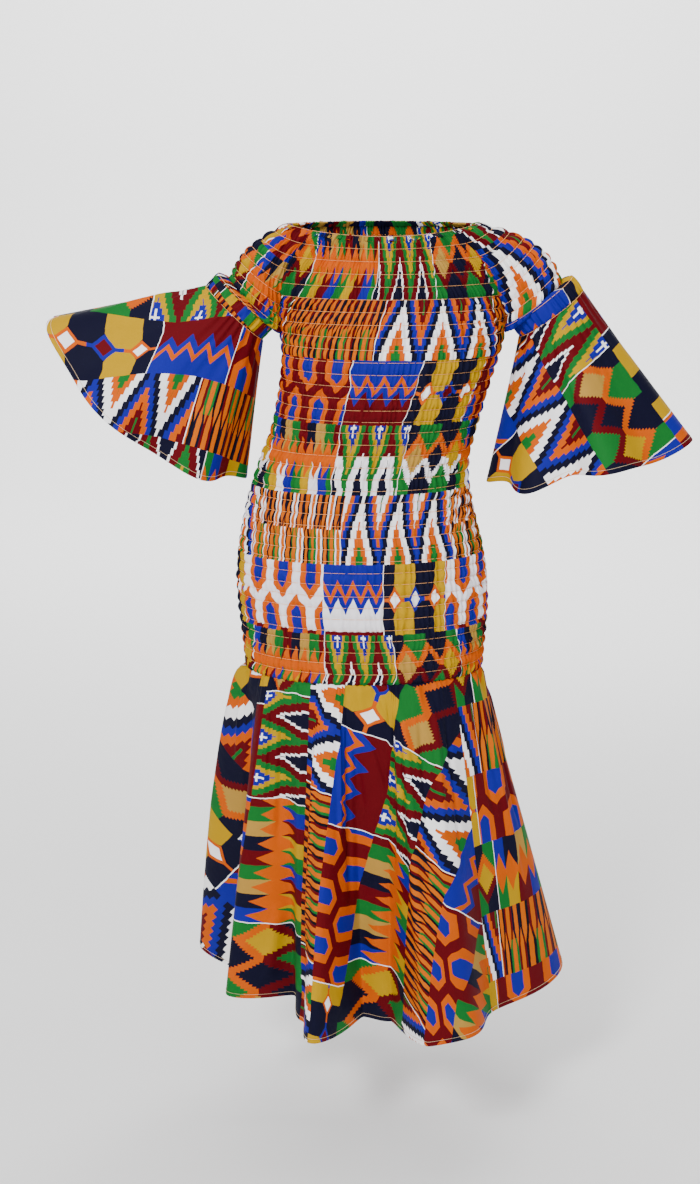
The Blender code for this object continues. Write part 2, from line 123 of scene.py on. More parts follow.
def turnedRows(points, uv, outward, kind):
    # extra rows past the last one: a hem rolls round a half circle and runs back inside,
    # a seam allowance bends in square to the cloth
    edge = unit(points[-1] - points[-2])
    inward = -outward[-1]
    if kind == "hem":
        r = cloth["hemThickness"] / 2
        turns = np.radians((30, 60, 90, 120, 150, 180))
        path = [(r * math.sin(a), r * (1 - math.cos(a)), r * a) for a in turns]
        path += [(-cloth["hemTurn"] * s, 2 * r, r * math.pi + cloth["hemTurn"] * s)
                 for s in (0.25, 0.6, 1.0)]
    else:
        d = cloth["seamTurn"]
        path = [(0.0002, 0.0004, 0.0005), (0.0002, 0.001, 0.001), (0.0, d / 2, d / 2),
                (-0.0004, d, d)]
    stride = uv[-1] - uv[-2]
    stride = stride / np.linalg.norm(points[-1] - points[-2], axis=-1, keepdims=True)
    rows = [points[-1] + edge * a + inward * b for a, b, c in path]
    marks = [uv[-1] + stride * c for a, b, c in path]
    return np.concatenate((points, rows)), np.concatenate((uv, marks))


def finishEdges(points, uv, edges):
    # edges gives hem or seam for the top, bottom, last and first side of the grid
    outward = gridNormals(points)
    rows, columns = (0, 1, 2), (1, 0, 2)
    for kind, flip, axes in zip(edges, (1, -1, 1, -1), (rows, rows, columns, columns)):
        grids = [grid.transpose(axes)[::flip] for grid in (points, uv, outward)]
        points, uv = turnedRows(*grids, kind)
        pad = np.repeat(grids[2][-1:], len(points) - len(grids[0]), axis=0)
        outward = np.concatenate((grids[2], pad))
        points, uv, outward = (grid[::flip].transpose(axes) for grid in (points, uv, outward))
    return points, uv


def cutSize(flat):
    # width and length of the flat cut, and its area as the sum of its cells
    down, along = np.diff(flat, axis=0)[:, :-1], np.diff(flat, axis=1)[:-1]
    area = np.abs(down[..., 0] * along[..., 1] - down[..., 1] * along[..., 0]).sum()
    return (float(np.ptp(flat[..., 0])), float(np.ptp(flat[..., 1]))), float(area)


def pieceName(node):
    # flounce_front gives flounceFront
    first, *rest = node.split("_")
    return first + "".join(word.capitalize() for word in rest)


def addSheet(node, points, uv, flat, material):
    # the cloth that stands for a node, declared with the size that it was cut to
    piece = addGrid(pieceName(node) + "Cotton", points, uv, material)
    size, area = cutSize(flat)
    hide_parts(node)
    cut = [round(value, 3) for value in (*size, area)]
    print(piece.name, len(piece.data.polygons) * 2, "triangles, cut", cut)


def addPiece(name, points, quads, material):
    mesh = bpy.data.meshes.new(name)
    mesh.from_pydata(points, [], quads)
    mesh.shade_smooth()
    mesh.materials.append(material)
    piece = bpy.data.objects.new(name, mesh)
    bpy.context.scene.collection.objects.link(piece)
    return piece


def addCloth(name, points, quads, material):
    piece = addPiece(name, points, quads, material)
    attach(piece, "root")
    return piece


def addGrid(name, points, uv, material):
    # one quad for each cell, corner order a, right, up-right, up, so that it faces outwards
    rows, columns = points.shape[:2]
    index = np.arange(rows * columns).reshape(rows, columns)
    corners = (index[:-1, :-1], index[:-1, 1:], index[1:, 1:], index[1:, :-1])
    quads = np.stack(corners, -1).reshape(-1, 4)
    piece = addCloth(name, points.reshape(-1, 3), quads, material)
    marks = uv.reshape(-1, 2)[quads.reshape(-1)].astype(np.float32)
    piece.data.uv_layers.new(name="cut").data.foreach_set("uv", marks.reshape(-1))
    return piece


def addThreads(name, paths, radius, material, sides=3):
    # round threads: each path (n, 3) carries a ring square to its own direction
    points, quads, count = [], [], 0
    turn = 2 * math.pi * np.arange(sides) / sides
    for path in paths:
        along = unit(np.gradient(path, axis=0))
        side = unit(np.cross(along, (0.02, 0.03, 1.0)))
        up = np.cross(side, along)
        ring = side[:, None] * np.cos(turn)[:, None] + up[:, None] * np.sin(turn)[:, None]
        points.append((path[:, None] + ring * radius).reshape(-1, 3))
        index = count + np.arange(len(path) * sides).reshape(len(path), sides)
        after = np.roll(index, -1, axis=1)
        quads.append(np.stack((index[:-1], after[:-1], after[1:], index[1:]), -1).reshape(-1, 4))
        count += len(path) * sides
    return addCloth(name, np.concatenate(points), np.concatenate(quads), material)


def layPrint(share, below, grain):
    # the flat cut of a flared piece is part of a ring, centre + radius * (sin a, -cos a), in mm of
    # the print.  The radius grows with the length below the top edge, and the angle with the share
    # of the hem, unevenly, because gathers and folds take up more cloth in some places.
    hang = np.clip(below / cloth["hang"], 0, 1)
    top = np.interp(share, grain["share"], grain["angle"])
    hem = np.interp(share, grain["share"], grain.get("hemAngle", grain["angle"]))
    a = np.radians(top + (hem - top) * hang)
    radius = grain["inner"] + below * 1000 * grain["ease"]
    x, y = grain["centre"]
    return np.stack((x + radius * np.sin(a), y - radius * np.cos(a)), axis=-1) / 1000


def addNode(tree, kind, *inputs, out=0, stops=None, **settings):
    # adds a node with its settings and links; a kind in capitals is a Math node's operation
    if kind.isupper():
        settings["operation"] = kind
        kind = "Math"
    node = tree.nodes.new("ShaderNode" + kind)
    for name, value in settings.items():
        setattr(node, name, value)
    for socket, value in zip(node.inputs, inputs):
        if isinstance(value, bpy.types.NodeSocket):
            tree.links.new(value, socket)
        elif value is not None:
            socket.default_value = value
    if stops:
        ramp = node.color_ramp
        ramp.interpolation = "CONSTANT"
        ramp.elements.remove(ramp.elements[1])
        for i, (colour, start) in enumerate(stops):
            element = ramp.elements[0] if i == 0 else ramp.elements.new(start)
            element.position = start
            element.color = ink[colour]
    return node.outputs[out]


def evenly(*colours):
    return [(colour, i / len(colours)) for i, colour in enumerate(colours)]


def nest(put, distance, colours, edges):
    # one colour inside the next: each goes up to its own distance
    full = float(edges[-1])
    stops = list(zip(colours, [0.0] + [edge / full for edge in edges[:-1]]))
    return put("ValToRGB", put("DIVIDE", distance, full), stops=stops)


def cycle(put, along, length, *colours):
    # the colours in turn, again after each length
    share = put("FRACT", put("DIVIDE", along, length))
    return put("ValToRGB", share, stops=evenly(*colours))


# The motifs are drawn in mm from the left and the bottom of their block.

def flames(put, x, y):
    # bars over and under a row of orange spikes whose tips stand at the bars' middles
    bar, middle, steep, thin = 23.8, 51.0, 2.2, 4.0
    spike = put("MULTIPLY_ADD", put("PINGPONG", x, bar / 2), steep, thin)
    height = put("SUBTRACT", y, middle)
    beyond = put("GREATER_THAN", put("ABSOLUTE", height), spike)
    share = put("DIVIDE", x, 9 * bar)
    upper = evenly("blue", *("navy", "tan", "green", "maroon") * 2)
    lower = evenly("green", *("yellow", "maroon", "blue", "green") * 2)
    upper, lower = (put("ValToRGB", share, stops=stops) for stops in (upper, lower))
    bars = put("MixRGB", put("GREATER_THAN", height, 0.0), lower, upper)
    return put("MixRGB", beyond, ink["orange"], bars)


def chevrons(put, x, y):
    # stepped wedges: the distance from a blue middle line, plus a share of the way down the block;
    # the blue tongue narrows faster, and a white stem with a bar on it stands on top
    half, top, step, slope, tongueSlope, tongueHalf = 32.5, 102.0, 10.2, 0.28, 0.4, 13.0
    stemHalf, stemFrom, barHalf, barAt = 1.6, 83.0, 6.5, (97.5, 2.0)
    side = put("PINGPONG", put("ADD", x, 32.0), half)
    down = put("SNAP", put("SUBTRACT", top, y), step)
    wedge = put("MULTIPLY_ADD", down, slope, side)
    colours = ("yellow", "green", "maroon", "white", "navy")
    colour = nest(put, wedge, colours, (19, 29, 42, 46, 60))
    tongue = put("LESS_THAN", put("MULTIPLY_ADD", down, tongueSlope, side), tongueHalf)
    colour = put("MixRGB", tongue, colour, ink["blue"])
    stem = put("MULTIPLY", put("LESS_THAN", side, stemHalf), put("GREATER_THAN", y, stemFrom))
    bar = put("MULTIPLY", put("LESS_THAN", side, barHalf), put("COMPARE", y, *barAt))
    return put("MixRGB", put("MAXIMUM", stem, bar), colour, ink["white"])


def diamonds(put, x, y):
    # lozenges between an orange zigzag above and a maroon one below, with small saw teeth
    half, middle, tooth, bite, outer, inner = 29.0, 51.0, 3.3, 1.35, 40.5, 25.5
    away = put("SUBTRACT", half, put("PINGPONG", x, half))
    height = put("SUBTRACT", y, middle)
    off = put("ABSOLUTE", height)
    teeth = put("PINGPONG", put("SUBTRACT", away, off), tooth)
    edge = put("MULTIPLY_ADD", teeth, bite, put("ADD", away, off))
    above = put("GREATER_THAN", height, 0.0)
    inside = cycle(put, x, 6 * half, "tan", "navy", "yellow")
    corner = put("ADD", put("MULTIPLY_ADD", above, 2 * half, x), half)
    outside = cycle(put, corner, 4 * half, "green", "navy")
    zigzag = put("MixRGB", above, ink["maroon"], ink["orange"])
    colour = put("MixRGB", put("GREATER_THAN", edge, outer), zigzag, outside)
    return put("MixRGB", put("LESS_THAN", edge, inner), colour, inside)


def stripes(put, x, y):
    # amber stripes whose ends are long points, set half a pitch apart above and below
    pitch, middle, past, point, widest = 16.5, 50.0, 14.0, 24.0, 3.9
    halves, points = [], []
    for offset, sense, darks in ((0.0, 1.0, ("black", "maroon", "navy")),
                                 (pitch / 2, -1.0, ("maroon", "black", "green"))):
        shifted = put("ADD", x, offset)
        off = put("SUBTRACT", pitch / 2, put("PINGPONG", shifted, pitch / 2))
        reach = put("MULTIPLY_ADD", put("SUBTRACT", y, middle), sense, past)
        width = put("MULTIPLY", put("MINIMUM", reach, point), widest / point)
        points.append(put("LESS_THAN", off, width))
        halves.append(cycle(put, shifted, 3 * pitch, *darks))
    dark = put("MixRGB", put("GREATER_THAN", y, middle), halves[1], halves[0])
    return put("MixRGB", put("MAXIMUM", *points), dark, ink["amber"])


def pyramids(put, x, y):
    # stepped cones: the distance from a white cone's axis, plus a share of the height; a green
    # bar stands between two cones at the top
    half, step, slope, green, high = 48.75, 12.4, 0.36, 47.0, 74.0
    side = put("SUBTRACT", half, put("PINGPONG", put("ADD", x, 2.75), half))
    cone = put("MULTIPLY_ADD", put("SNAP", y, step), slope, side)
    colours = ("green", "orange", "white", "navy", "blue", "orange", "maroon")
    colour = nest(put, cone, colours, (9, 20, 34, 44, 54, 65, 90))
    bar = put("MULTIPLY", put("GREATER_THAN", side, green), put("GREATER_THAN", y, high))
    return put("MixRGB", bar, colour, ink["green"])


def ogee(put, x, y):
    # orange cups with blue cores, open at both edges and reaching between each other: distance to
    # the side, plus a taper past the shoulders
    half, top, cupEdge, coreEdge = 37.5, 104.0, 26.0, 12.5
    cores, cups = [], []
    for offset, depth in ((19.5, y), (57.0, put("SUBTRACT", top, y))):
        side = put("SUBTRACT", half, put("PINGPONG", put("ADD", x, offset), half))
        for shapes, shoulder, slope in ((cores, 31.0, 1.3), (cups, 35.0, 1.25)):
            taper = put("MAXIMUM", put("SUBTRACT", depth, shoulder), 0.0)
            shapes.append(put("MULTIPLY_ADD", taper, slope, side))
    isCup = put("LESS_THAN", put("MINIMUM", *cups), cupEdge)
    isCore = put("LESS_THAN", put("MINIMUM", *cores), coreEdge)
    colour = put("MixRGB", isCup, ink["maroon"], ink["orange"])
    return put("MixRGB", isCore, colour, ink["blue"])


def zigzag(put, x, y):
    # an orange zigzag inside a blue one, on maroon; an edge is (slope, height)
    half, blueEdge, orangeMiddle, orangeHalf = 18.75, (-1.28, 53.5), (-1.24, 73.3), 5.6
    tooth = put("PINGPONG", x, half)
    low, middle = put("MULTIPLY_ADD", tooth, *blueEdge), put("MULTIPLY_ADD", tooth, *orangeMiddle)
    ground = put("MixRGB", put("GREATER_THAN", y, low), ink["maroon"], ink["blue"])
    return put("MixRGB", put("COMPARE", y, middle, orangeHalf), ground, ink["orange"])


def hourglass(put, x, y):
    # yellow columns with cut corners on navy, and small framed lozenges where columns meet
    half, middle, corner, slope, link, edge, core = 26.0, 50.0, 20.0, 0.7, 2.6, 18.5, 12.0
    height = put("ABSOLUTE", put("SUBTRACT", y, middle))
    off = put("SUBTRACT", 2 * half, put("PINGPONG", put("SUBTRACT", x, 2.0), 2 * half))
    cut = put("MULTIPLY", put("MAXIMUM", put("SUBTRACT", corner, height), 0.0), slope)
    yellow = put("LESS_THAN", put("ADD", off, cut), half)
    colour = put("MixRGB", yellow, ink["navy"], ink["yellow"])
    lozenge = put("ADD", put("PINGPONG", put("ADD", x, 24.0), half), height)
    framed = put("MAXIMUM", put("LESS_THAN", lozenge, edge), put("LESS_THAN", height, link))
    frames = cycle(put, x, 4 * half, "orange", "blue")
    cores = cycle(put, x, 4 * half, "white", "maroon")
    colour = put("MixRGB", framed, colour, frames)
    return put("MixRGB", put("LESS_THAN", lozenge, core), colour, cores)


# The print: three rows of blocks, in mm.  A row is its bottom, its height, how far its blocks are
# shifted to the left, and its blocks (start, width, motif).
kente = {
    "repeat": (550.0, 301.0),
    "line": 0.8,           # half of the white line between two blocks of a row
    "wobble": 0.9, "wobbleScale": 90.0,   # how far the dye's edge strays, and how often
    "rows": (
        (199.0, 102.0, 0.0,
         ((0.0, 205.0, flames), (205.0, 170.0, chevrons), (375.0, 175.0, diamonds))),
        (100.0, 99.0, 8.0, ((0.0, 255.0, stripes), (255.0, 295.0, pyramids))),
        (0.0, 100.0, 33.0,
         ((0.0, 238.0, ogee), (238.0, 150.0, zigzag), (388.0, 162.0, hourglass))),
    ),
}


def kentePrint():
    # node group: a place in the print, in metres, gives its dye
    tree = bpy.data.node_groups.new("kentePrint", "ShaderNodeTree")
    tree.interface.new_socket("Place", in_out="INPUT", socket_type="NodeSocketVector")
    tree.interface.new_socket("Dye", in_out="OUTPUT", socket_type="NodeSocketColor")
    put = partial(addNode, tree)
    place = tree.nodes.new("NodeGroupInput").outputs[0]
    stray = put("TexNoise", place, None, kente["wobbleScale"], 1.0, out=1)
    stray = put("VectorMath", stray, (0.5, 0.5, 0.5), operation="SUBTRACT")
    reach = 2 * kente["wobble"] / 1000
    stray = put("VectorMath", stray, (reach, reach, 0.0), operation="MULTIPLY")
    split = put("SeparateXYZ", put("VectorMath", place, stray, operation="ADD"))
    across = put("MULTIPLY", split, 1000.0)
    upward = put("MULTIPLY", split.node.outputs[1], 1000.0)
    colour = ink["white"]
    for bottom, height, shift, blocks in kente["rows"]:
        y = put("FLOORED_MODULO", put("SUBTRACT", upward, bottom), kente["repeat"][1])
        inRow = put("COMPARE", y, height / 2, height / 2)
        x = put("FLOORED_MODULO", put("ADD", across, shift), kente["repeat"][0])
        for start, width, motif in blocks:
            inBlock = put("COMPARE", x, start + width / 2, width / 2 - kente["line"])
            dye = motif(put, put("SUBTRACT", x, start), y)
            colour = put("MixRGB", put("MULTIPLY", inRow, inBlock), colour, dye)
    tree.links.new(colour, tree.nodes.new("NodeGroupOutput").inputs[0])
    return tree


# A run of cloth in the bodice was printed pale instead of maroon: object Z, half its height, and
# how near to maroon a colour is
paleRun = {"middle": -0.439, "half": 0.129, "near": 0.05}
# Noise scales are in patches a metre
waxFinish = {
    "roughness": 0.62, "ior": 1.46, "specular": 0.06,
    "patch": 33.0, "patchTone": 0.16, "slub": 800.0, "slubTone": 0.14, "palest": 0.84,
    "crinkle": 70.0, "slubRelief": 0.12, "bump": 0.5, "relief": 0.0015,
}


def newMaterial(name, roughness, ior):
    material = bpy.data.materials.new(name)
    material.use_nodes = True
    shader = material.node_tree.nodes["Principled BSDF"]
    shader.inputs["Roughness"].default_value = roughness
    shader.inputs["IOR"].default_value = ior
    return material, shader, material.node_tree.links, partial(addNode, material.node_tree)


def waxCotton(name, smocked):
    # Ankara wax print: plain-woven cotton, resin-resist dyed on both faces and calendered.
    # Flat saturated dyes, a low even gloss, a faint weave and soft small crinkles.
    finish = waxFinish
    material, shader, links, put = newMaterial(name, finish["roughness"], finish["ior"])
    place = put("UVMap", uv_map="cut")
    group = material.node_tree.nodes.new("ShaderNodeGroup")
    group.node_tree = bpy.data.node_groups.get("kentePrint") or kentePrint()
    links.new(place, group.inputs[0])
    dye = group.outputs[0]
    if smocked:
        red = put("SeparateColor", dye)
        height = put("SeparateXYZ", put("TexCoord", out=3), out=2)
        inRun = put("COMPARE", height, paleRun["middle"], paleRun["half"])
        isMaroon = put("COMPARE", red, ink["maroon"][0], paleRun["near"])
        inRun = put("MULTIPLY", inRun, isMaroon)
        dye = put("MixRGB", inRun, dye, ink["bleached"])
    # uneven dye: patches of 30 mm, and threads of 0.4 mm drawn at 1.2 mm to show
    patches = put("TexNoise", place, None, finish["patch"], 3.0)
    slub = put("TexNoise", place, None, finish["slub"], 2.0)
    tone = put("MULTIPLY_ADD", patches, finish["patchTone"], finish["palest"])
    tone = put("MULTIPLY_ADD", slub, finish["slubTone"], tone)
    dye = put("HueSaturation", 0.5, 1.0, tone, 1.0, dye)
    links.new(dye, shader.inputs["Base Color"])
    shader.inputs["Specular IOR Level"].default_value = finish["specular"]
    crinkle = put("TexNoise", place, None, finish["crinkle"], 4.0)
    weave = put("MULTIPLY_ADD", slub, finish["slubRelief"], crinkle)
    bump = put("Bump").node
    bump.inputs["Strength"].default_value = finish["bump"]
    bump.inputs["Distance"].default_value = finish["relief"]
    links.new(weave, bump.inputs["Height"])
    links.new(bump.outputs[0], shader.inputs["Normal"])
    return material


threadFinish = {"roughness": 0.7, "ior": 1.5, "twist": 900.0, "twistTone": 0.4, "palest": 0.75}


def polyesterThread(name, colour):
    # spun polyester sewing thread: matt, with a twist too fine to show
    finish = threadFinish
    material, shader, links, put = newMaterial(name, finish["roughness"], finish["ior"])
    twist = put("TexNoise", put("TexCoord", out=3), None, finish["twist"], 2.0)
    tone = put("MULTIPLY_ADD", twist, finish["twistTone"], finish["palest"])
    dye = put("HueSaturation", 0.5, 1.0, tone, 1.0, linear(colour))
    links.new(dye, shader.inputs["Base Color"])
    return material


smockedCotton = waxCotton("ankaraWaxCottonSmocked", True)
plainCotton = waxCotton("ankaraWaxCotton", False)
shirringThread = polyesterThread("orangePolyesterThread", "#ffb877")
hemThread = polyesterThread("creamPolyesterThread", "#e6c9a0")
print("materials made")


bodice = {
    "hipZ": -0.652, "armpitZ": -0.139,
    "z": (-0.652, -0.606, -0.56, -0.51, -0.461, -0.394, -0.331, -0.28, -0.23, -0.184, -0.139,
          -0.09, -0.045, 0.0),
    "centreX": (-0.025, -0.025, -0.026, -0.028, -0.03, -0.032, -0.025, -0.01, 0.002, 0.011, 0.016,
                0.012, 0.006, 0.0),
    "halfWidth": (0.179, 0.182, 0.186, 0.187, 0.181, 0.166, 0.153, 0.149, 0.151, 0.155, 0.162,
                  0.159, 0.141, 0.1),
    "frontDepth": (0.112, 0.115, 0.117, 0.116, 0.111, 0.104, 0.1, 0.104, 0.116, 0.121, 0.114,
                   0.102, 0.09, 0.078),
    "backDepth": (0.118, 0.123, 0.127, 0.127, 0.12, 0.106, 0.095, 0.094, 0.098, 0.102, 0.103,
                  0.098, 0.09, 0.076),
    "puffs": 30, "raglanPuffs": 8, "columns": 330, "rowsInPuff": 6,
    "neckHalfWidth": 0.136, "neckSideLift": 0.013, "neckBackLift": 0.015,
}
neckReach = math.acos(bodice["halfWidth"][-1] / bodice["neckHalfWidth"])

# Shirring: pleats of one thread row drift a little before the next row.  The waves that drift,
# swell and uneven hold are (length along the row, reach).
shirring = {
    "pleat": 0.0074, "rise": 0.0028, "atThread": 0.0014, "between": 0.0018, "sway": 0.0015,
    "archPower": 0.8, "thread": 0.00038, "threadOver": 0.0009, "shift": 0.0014,
    "rowDrift": (1.1, 0.9, 0.9, 0.8, 0.8), "drift": ((0.061, 1.9), (0.026, 1.2)),
    "uneven": ((0.034, 0.35), (0.013, 0.2)), "sharpness": 0.22, "lean": 0.35,
    "swell": (0.047, 0.029), "swellReach": 0.16, "seamCalm": 0.006, "puffAtSeam": 0.4,
    "pleatAtSeam": 0.25,
}


def neckLift(cosine, sine, face):
    backLift = np.where(face > 0, bodice["neckBackLift"], 0)
    return bodice["neckSideLift"] * cosine ** 2 + backLift * sine ** 2


def bodicePoint(face, across, z):
    # half an ellipse at each height, from seam to seam; above the armpit it starts at the raglan
    depths = bodice["frontDepth" if face < 0 else "backDepth"]
    centreX, halfWidth, depth = (smoothCurve(bodice["z"], values, z)
                                 for values in (bodice["centreX"], bodice["halfWidth"], depths))
    climb = np.maximum(z - bodice["armpitZ"], 0) / -bodice["armpitZ"]
    seamDepth = depths[-1] * math.sin(neckReach) * np.sin(math.pi / 2 * climb)
    start = np.arcsin(seamDepth / depth)
    angle = start + (math.pi - 2 * start) * (1 - across)
    x = centreX - face * halfWidth / np.cos(start) * np.cos(angle)
    y = face * depth * np.sin(angle)
    return stack(x, y, z + climb ** 2 * neckLift(np.cos(angle), np.sin(angle), face))


def ripple(s, length, turn):
    return np.sin(2 * math.pi * s / length + turn)


def betweenRows(rowPlace, last):
    # the thread row below each grid row, and the eased share of the way to the next one
    k = np.clip(np.floor(rowPlace).astype(int), 0, last)
    return k, ease(rowPlace - k)


def pleats(s, threads, rowPlace, seed):
    # one wave for each thread row, sin(2 pi s / pleat + slow drift), blended from row to row
    random = np.random.default_rng(seed)
    waves, turns = [], random.uniform(0, 6.28, 5)
    for _ in range(threads):
        turns = turns + random.normal(0, shirring["rowDrift"])
        phase = 2 * math.pi * s / shirring["pleat"] + turns[0]
        height = 1.0
        for (length, reach), turn in zip(shirring["drift"], turns[1:3]):
            phase = phase + reach * ripple(s, length, turn)
        for (length, reach), turn in zip(shirring["uneven"], turns[3:5]):
            height = height + reach * ripple(s, length, turn)
        waves.append(height * (np.sin(phase) + shirring["sharpness"] * np.sin(2 * phase + 1.0)))
    waves = np.array(waves)
    k, t = betweenRows(rowPlace, threads - 2)
    return waves[k] * (1 - t[:, None]) + waves[k + 1] * t[:, None]


def smock(base, rowPlace, threads, rise, seed):
    # puffs between the thread rows, with the pleats on them
    outward = gridNormals(base)
    width = float(arcAlong(base, 1)[:, -1].mean())
    s = np.linspace(0, width, base.shape[1])
    wave = pleats(s, threads, rowPlace, seed)
    arch = np.abs(np.sin(math.pi * rowPlace))[:, None]
    random = np.random.default_rng(seed + 1)
    swell = sum(ripple(s, length, random.uniform(0, 6.28, (threads, 1)))
                for length in shirring["swell"]) * shirring["swellReach"]
    k, _ = betweenRows(rowPlace, threads - 1)
    puff = rise * arch ** shirring["archPower"] * (1 + swell[k])
    depth = shirring["atThread"] + (shirring["between"] - shirring["atThread"]) * arch
    # level with the next piece at the seam
    edge = np.clip(np.minimum(s, width - s) / shirring["seamCalm"], 0, 1)
    puffShare = shirring["puffAtSeam"] + (1 - shirring["puffAtSeam"]) * edge
    pleatShare = shirring["pleatAtSeam"] + (1 - shirring["pleatAtSeam"]) * edge
    off = puff * puffShare + depth * wave * pleatShare
    lean = shirring["sway"] * np.gradient(wave, axis=1) * shirring["lean"] * edge
    sideways = unit(np.gradient(base, axis=1))
    points = base + outward * (off + cloth["over"])[..., None] + sideways * lean[..., None]
    return points, outward


def addSmocked(node, base, points, outward, uv, flat, perPuff, first=0):
    # the cloth, and elastic thread along each row of puffs between the seams
    over = cloth["over"] + shirring["threadOver"]
    lines = (base[::perPuff, 2:-2:3] + outward[::perPuff, 2:-2:3] * over)[first:]
    threads = addThreads(pieceName(node) + "Threads", lines, shirring["thread"], shirringThread)
    points, uv = finishEdges(points, uv, ("hem", "seam", "seam", "seam"))
    flat = uv if flat is None else flat
    addSheet(node, points, uv, flat, smockedCotton)


def middleArc(base):
    # length along each row from the middle column
    arc = arcAlong(base, 1)
    return arc - arc[:, [base.shape[1] // 2]]


def jitter(threads, rowPlace, seed):
    # how far the cloth is shifted along each thread row, blended between rows
    shifts = np.random.default_rng(seed).normal(0, shirring["shift"], threads + 1)
    k, t = betweenRows(rowPlace, threads - 1)
    return shifts[k] * (1 - t) + shifts[k + 1] * t


# Heights of the print's row borders on the bodice, and the same places in the print (mm).
# At the heights of grainZ: how much cloth the gathers hold, and the print's X on the middle line.
bodicePrint = {
    "z": (-0.652, -0.573, -0.468, -0.367, -0.263, -0.17, -0.0865, 0.03),
    "row": (224.0, 301.0, 401.0, 500.0, 602.0, 702.0, 801.0, 925.0),
    "grainZ": (-0.652, -0.61, -0.573, -0.52, -0.468, -0.42, -0.367, -0.315, -0.263, -0.215,
               -0.17, -0.13, -0.0865, -0.045, 0.0),
    "fullness": (1.61, 1.64, 1.72, 1.7, 1.72, 1.79, 1.79, 1.76, 1.71, 1.62, 1.49, 1.57, 1.84,
                 2.18, 2.39),
    "middle": (304.0, 303.0, 306.0, 306.0, 301.0, 297.0, 288.0, 285.0, 296.0, 291.0, 290.0, 283.0,
               258.0, 231.0, 222.0),
    "shift": {-1: 0.0, 1: 275.0},
}


def addBodice(name, face, seed):
    perPuff = bodice["rowsInPuff"]
    low = np.linspace(bodice["hipZ"], bodice["armpitZ"], bodice["puffs"] * perPuff + 1)
    high = np.linspace(bodice["armpitZ"], 0.0, bodice["raglanPuffs"] * perPuff + 1)
    heights = np.concatenate((low, high[1:]))
    rowPlace = np.arange(len(heights)) / perPuff
    threads = bodice["puffs"] + bodice["raglanPuffs"] + 1
    across, z = np.meshgrid(np.linspace(0, 1, bodice["columns"]), heights)
    base = bodicePoint(face, across, z)
    points, outward = smock(base, rowPlace, threads, shirring["rise"], seed)
    fullness, middle = (smoothCurve(bodicePrint["grainZ"], bodicePrint[key], heights)
                        for key in ("fullness", "middle"))
    middle = (middle + bodicePrint["shift"][face]) / 1000 + jitter(threads, rowPlace, seed + 2)
    u = middleArc(base) * fullness[:, None] + middle[:, None]
    v = np.interp(z, bodicePrint["z"], np.array(bodicePrint["row"]) / 1000)
    addSmocked(name, base, points, outward, np.stack((u, v), -1), None, perPuff, first=1)


addBodice("bodice_front", -1, 11)
addBodice("bodice_back", 1, 23)
print("bodice made")


# A smocked raglan crown down to an elastic band
sleeves = {
    "right": {"side": -1, "band": (-0.2075, -0.104), "under": (0.0395, -0.038), "crown": 0.0,
              "hemAngle": (270.5, 228.0, 183.0), "hemRadius": (0.252, 0.233, 0.278),
              "hemDepth": (0.105, 0.125, 0.11),
              "grainX": (-87.0, 1.84, 0.0), "grainY": (172.0, 0.15, 1.31), "bandShift": 38.0},
    "left": {"side": 1, "band": (0.242, -0.104), "under": (-0.044, -0.033), "crown": 0.017,
             "hemAngle": (253.0, 287.0, 318.7), "hemRadius": (0.27, 0.236, 0.29),
             "hemDepth": (0.105, 0.13, 0.11),
             "grainX": (416.0, 1.24, -0.36), "grainY": (83.5, 0.06, 0.84), "bandShift": 15.0},
}
sleeveCut = {
    "bandDepth": 0.052, "bandWidth": 0.024, "armpitShare": 0.92, "columns": 250, "rowsInPuff": 7,
    "crownPuffs": 9, "bandPuffs": 1, "bandRise": 0.0012, "fullness": 1.6,
}


def bandRing(sleeve, turn, place):
    # ellipse round the arm at the band; turn 0 is the underarm, 0.25 the front, and place runs
    # from -0.5 at the crown's edge of the band to 0.5
    underX, underZ = sleeve["under"]
    length = math.hypot(underX, underZ)
    armX, armZ = sleeve["side"] * -underZ / length, sleeve["side"] * underX / length
    along = sleeveCut["bandWidth"] * place
    cosine, sine = np.cos(2 * math.pi * turn), np.sin(2 * math.pi * turn)
    x = sleeve["band"][0] + armX * along + underX * cosine
    z = sleeve["band"][1] + armZ * along + underZ * cosine
    return stack(x, -sleeveCut["bandDepth"] * sine, z)


def neckArc(side, turn):
    angle = neckReach * (1 - 2 * turn)
    depth = np.where(angle > 0, bodice["frontDepth"][-1], bodice["backDepth"][-1])
    lift = neckLift(np.cos(angle), np.sin(angle), np.where(angle > 0, -1, 1))
    return stack(side * bodice["neckHalfWidth"] * np.cos(angle), -depth * np.sin(angle), lift)


def crownEdge(sleeve, face, down):
    # the raglan seam to the armpit, then straight along the underarm to the band
    height = np.maximum(np.minimum(1 - down / sleeveCut["armpitShare"], 1), 0)
    edge = 1.0 if sleeve["side"] * face < 0 else 0.0
    raglan = bodicePoint(face, edge, bodice["armpitZ"] * (1 - height))
    bottom = bandRing(sleeve, 0.0, -0.5)
    rest = np.maximum(down - sleeveCut["armpitShare"], 0) / (1 - sleeveCut["armpitShare"])
    return raglan + (bottom - raglan) * rest[..., None]


